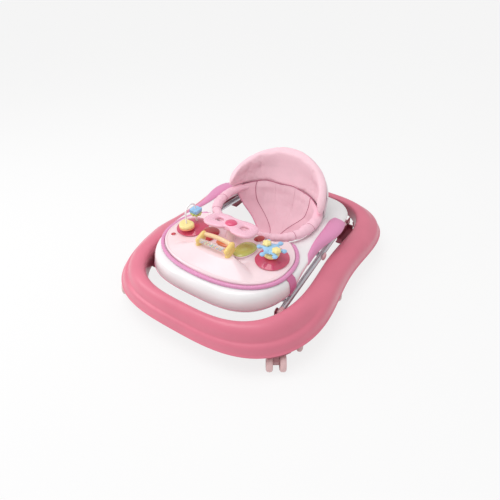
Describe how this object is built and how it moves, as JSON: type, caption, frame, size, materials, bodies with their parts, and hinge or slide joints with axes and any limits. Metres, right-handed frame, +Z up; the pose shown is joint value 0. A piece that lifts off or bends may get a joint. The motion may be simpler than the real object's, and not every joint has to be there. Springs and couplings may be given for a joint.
{
  "type": "baby walker",
  "caption": "Pink baby walker: moulded ring on swivel casters, folding scissor frame, lifting tray with toy panel, steering wheel and padded bucket seat.",
  "frame": {"origin": "on the floor under the middle of the base ring, with the frame folded to its lowest setting", "axes": "+Z up, -Y towards the front with the toy panel, +Y towards the seat back, +X towards the seated child's left"},
  "size_m": [0.6296, 0.796, 0.3206],
  "materials": {
    "ring_pink": "moulded rose pink, soft sheen",
    "ring_inner": "rose pink ribs and brackets under the ring",
    "caster_rose": "dusty rose caster housings",
    "wheel_pink": "pale pink wheels",
    "pad_rubber": "pale anti-skid pads",
    "tube_steel": "powder-coated white steel tube",
    "pin_steel": "zinc-plated steel pins",
    "plug_pink": "pale pink plugs and covers",
    "shell_white": "glossy white moulding",
    "bracket_white": "white brackets under the deck",
    "mauve": "mauve band and straps",
    "mauve_pad": "soft mauve guards",
    "panel_pale": "pale pink toy panel",
    "dome_rose": "magenta domes",
    "grip_pink": "light pink steering wheel",
    "horn_pink": "hot pink horn button",
    "light_red": "translucent red buttons",
    "light_orange": "translucent orange button",
    "light_green": "translucent green button",
    "toy_yellow": "pale yellow toys",
    "handle_yellow": "butter yellow handle ends",
    "handle_clear": "clear peach bar",
    "tube_clear": "clear bead tube",
    "bead_mix": "coloured beads",
    "wire_white": "white coated wire",
    "toy_blue": "light blue toys",
    "seat_fabric": "pale pink woven fabric over foam",
    "sling_fabric": "dusty pink woven fabric",
    "board_white": "white back board"
  },
  "bodies": {
    "base": {"base_ring": "ring_pink", "caster_sockets": "ring_inner", "leg_brackets": "ring_inner", "leg_rails": "ring_inner", "brake_pads": "pad_rubber"},
    "outer_legs": {"outer_tube_left": "tube_steel", "outer_tube_right": "tube_steel", "outer_cross_tube": "tube_steel", "outer_tube_plugs": "plug_pink", "pivot_pins": "pin_steel", "pivot_covers": "plug_pink"},
    "inner_legs": {"inner_tube_left": "tube_steel", "inner_tube_right": "tube_steel", "inner_cross_tube": "tube_steel", "inner_tube_caps": "plug_pink"},
    "tray": {"tray_shell": "shell_white", "tray_hinges": "bracket_white", "tray_slides": "bracket_white", "armrest_left": "mauve_pad", "armrest_right": "mauve_pad", "panel_band": "mauve", "side_clips": "mauve", "toy_panel": "panel_pale", "toy_domes": "dome_rose", "steering_column": "panel_pale", "handle_ends": "handle_yellow", "handle_bar": "handle_clear", "wire_arch": "wire_white", "spinner_base": "toy_yellow", "seat_roll": "seat_fabric", "seat_sling": "sling_fabric", "seat_back_pad": "seat_fabric", "seat_back_board": "board_white"},
    "height_rack": {"height_rack": "ring_inner"},
    "steering": {"steering_wheel": "grip_pink"},
    "horn": {"horn_button": "horn_pink"},
    "light_red_left": {"light_red_left": "light_red"},
    "light_orange": {"light_orange": "light_orange"},
    "light_green": {"light_green": "light_green"},
    "light_red_right": {"light_red_right": "light_red"},
    "power_button": {"power_button": "light_red"},
    "bead_roller": {"bead_tube": "tube_clear", "beads": "bead_mix"},
    "arch_knob": {"arch_knob": "toy_yellow"},
    "arch_block": {"arch_block": "toy_blue"},
    "spinner": {"spinner_star": "toy_blue", "spinner_caps": "toy_yellow"},
    "fork_1": {"caster_fork_1": "caster_rose"},
    "wheels_1": {"caster_wheels_1": "wheel_pink"},
    "fork_2": {"caster_fork_2": "caster_rose"},
    "wheels_2": {"caster_wheels_2": "wheel_pink"},
    "fork_3": {"caster_fork_3": "caster_rose"},
    "wheels_3": {"caster_wheels_3": "wheel_pink"},
    "fork_4": {"caster_fork_4": "caster_rose"},
    "wheels_4": {"caster_wheels_4": "wheel_pink"},
    "fork_5": {"caster_fork_5": "caster_rose"},
    "wheels_5": {"caster_wheels_5": "wheel_pink"},
    "fork_6": {"caster_fork_6": "caster_rose"},
    "wheels_6": {"caster_wheels_6": "wheel_pink"}
  },
  "joints": [
    {"name": "frame_lift", "type": "hinge", "parent": "base", "child": "outer_legs", "pos_m": [0, -0.222, 0.086], "axis": [1, 0, 0], "range_deg": [0, 27]},
    {"name": "scissor_pivot", "type": "hinge", "parent": "outer_legs", "child": "inner_legs", "pos_m": [0, 0.0147, 0.11088], "axis": [1, 0, 0], "range_deg": [-54, 0]},
    {"name": "tray_hinge", "type": "hinge", "parent": "inner_legs", "child": "tray", "pos_m": [0, -0.14443, 0.1276], "axis": [1, 0, 0], "range_deg": [0, 27]},
    {"name": "rack_slide", "type": "slide", "parent": "tray", "child": "height_rack", "axis": [0, 0, 1], "range_m": [0, 0.006]},
    {"name": "steering_turn", "type": "hinge", "parent": "tray", "child": "steering", "pos_m": [0, -0.14, 0.183], "axis": [0, 0.1392, 0.9903], "range_deg": [-40, 40]},
    {"name": "horn_press", "type": "slide", "parent": "steering", "child": "horn", "axis": [0, -0.1392, -0.9903], "range_m": [0, 0.002], "stiffness_N_per_m": 400, "springref_m": -0.002},
    {"name": "light_red_left_press", "type": "slide", "parent": "tray", "child": "light_red_left", "axis": [0, 0, -1], "range_m": [0, 0.002], "stiffness_N_per_m": 400, "springref_m": -0.002},
    {"name": "light_orange_press", "type": "slide", "parent": "tray", "child": "light_orange", "axis": [0, 0, -1], "range_m": [0, 0.002], "stiffness_N_per_m": 400, "springref_m": -0.002},
    {"name": "light_green_press", "type": "slide", "parent": "tray", "child": "light_green", "axis": [0, 0, -1], "range_m": [0, 0.002], "stiffness_N_per_m": 400, "springref_m": -0.002},
    {"name": "light_red_right_press", "type": "slide", "parent": "tray", "child": "light_red_right", "axis": [0, 0, -1], "range_m": [0, 0.002], "stiffness_N_per_m": 400, "springref_m": -0.002},
    {"name": "power_press", "type": "slide", "parent": "tray", "child": "power_button", "axis": [0, 0, -1], "range_m": [0, 0.0015], "stiffness_N_per_m": 300, "springref_m": -0.002},
    {"name": "bead_turn", "type": "hinge", "parent": "tray", "child": "bead_roller", "pos_m": [0, -0.219, 0.212], "axis": [1, 0, 0], "continuous": true},
    {"name": "arch_knob_turn", "type": "hinge", "parent": "tray", "child": "arch_knob", "pos_m": [-0.132, -0.166, 0.19], "axis": [0, 0, 1], "continuous": true},
    {"name": "arch_block_turn", "type": "hinge", "parent": "tray", "child": "arch_block", "pos_m": [-0.132, -0.122, 0.215], "axis": [0, 0, 1], "continuous": true},
    {"name": "spinner_turn", "type": "hinge", "parent": "tray", "child": "spinner", "pos_m": [0.132, -0.144, 0.207], "axis": [0, 0, 1], "continuous": true},
    {"name": "swivel_1", "type": "hinge", "parent": "base", "child": "fork_1", "pos_m": [0.245, -0.304, 0.054], "axis": [0, 0, 1], "continuous": true},
    {"name": "roll_1", "type": "hinge", "parent": "fork_1", "child": "wheels_1", "pos_m": [0.25317, -0.31658, 0.023], "axis": [-0.8387, -0.5446, 0], "continuous": true},
    {"name": "swivel_2", "type": "hinge", "parent": "base", "child": "fork_2", "pos_m": [-0.245, -0.304, 0.054], "axis": [0, 0, 1], "continuous": true},
    {"name": "roll_2", "type": "hinge", "parent": "fork_2", "child": "wheels_2", "pos_m": [-0.23683, -0.31658, 0.023], "axis": [-0.8387, -0.5446, 0], "continuous": true},
    {"name": "swivel_3", "type": "hinge", "parent": "base", "child": "fork_3", "pos_m": [0.262, -0.01, 0.054], "axis": [0, 0, 1], "continuous": true},
    {"name": "roll_3", "type": "hinge", "parent": "fork_3", "child": "wheels_3", "pos_m": [0.27017, -0.02258, 0.023], "axis": [-0.8387, -0.5446, 0], "continuous": true},
    {"name": "swivel_4", "type": "hinge", "parent": "base", "child": "fork_4", "pos_m": [-0.262, -0.01, 0.054], "axis": [0, 0, 1], "continuous": true},
    {"name": "roll_4", "type": "hinge", "parent": "fork_4", "child": "wheels_4", "pos_m": [-0.25383, -0.02258, 0.023], "axis": [-0.8387, -0.5446, 0], "continuous": true},
    {"name": "swivel_5", "type": "hinge", "parent": "base", "child": "fork_5", "pos_m": [0.234, 0.312, 0.054], "axis": [0, 0, 1], "continuous": true},
    {"name": "roll_5", "type": "hinge", "parent": "fork_5", "child": "wheels_5", "pos_m": [0.24217, 0.29942, 0.023], "axis": [-0.8387, -0.5446, 0], "continuous": true},
    {"name": "swivel_6", "type": "hinge", "parent": "base", "child": "fork_6", "pos_m": [-0.234, 0.312, 0.054], "axis": [0, 0, 1], "continuous": true},
    {"name": "roll_6", "type": "hinge", "parent": "fork_6", "child": "wheels_6", "pos_m": [-0.22583, 0.29942, 0.023], "axis": [-0.8387, -0.5446, 0], "continuous": true}
  ],
  "couplings": [
    {"joint": "scissor_pivot", "follows": "frame_lift", "ratio": -2},
    {"joint": "tray_hinge", "follows": "frame_lift", "ratio": 1}
  ]
}
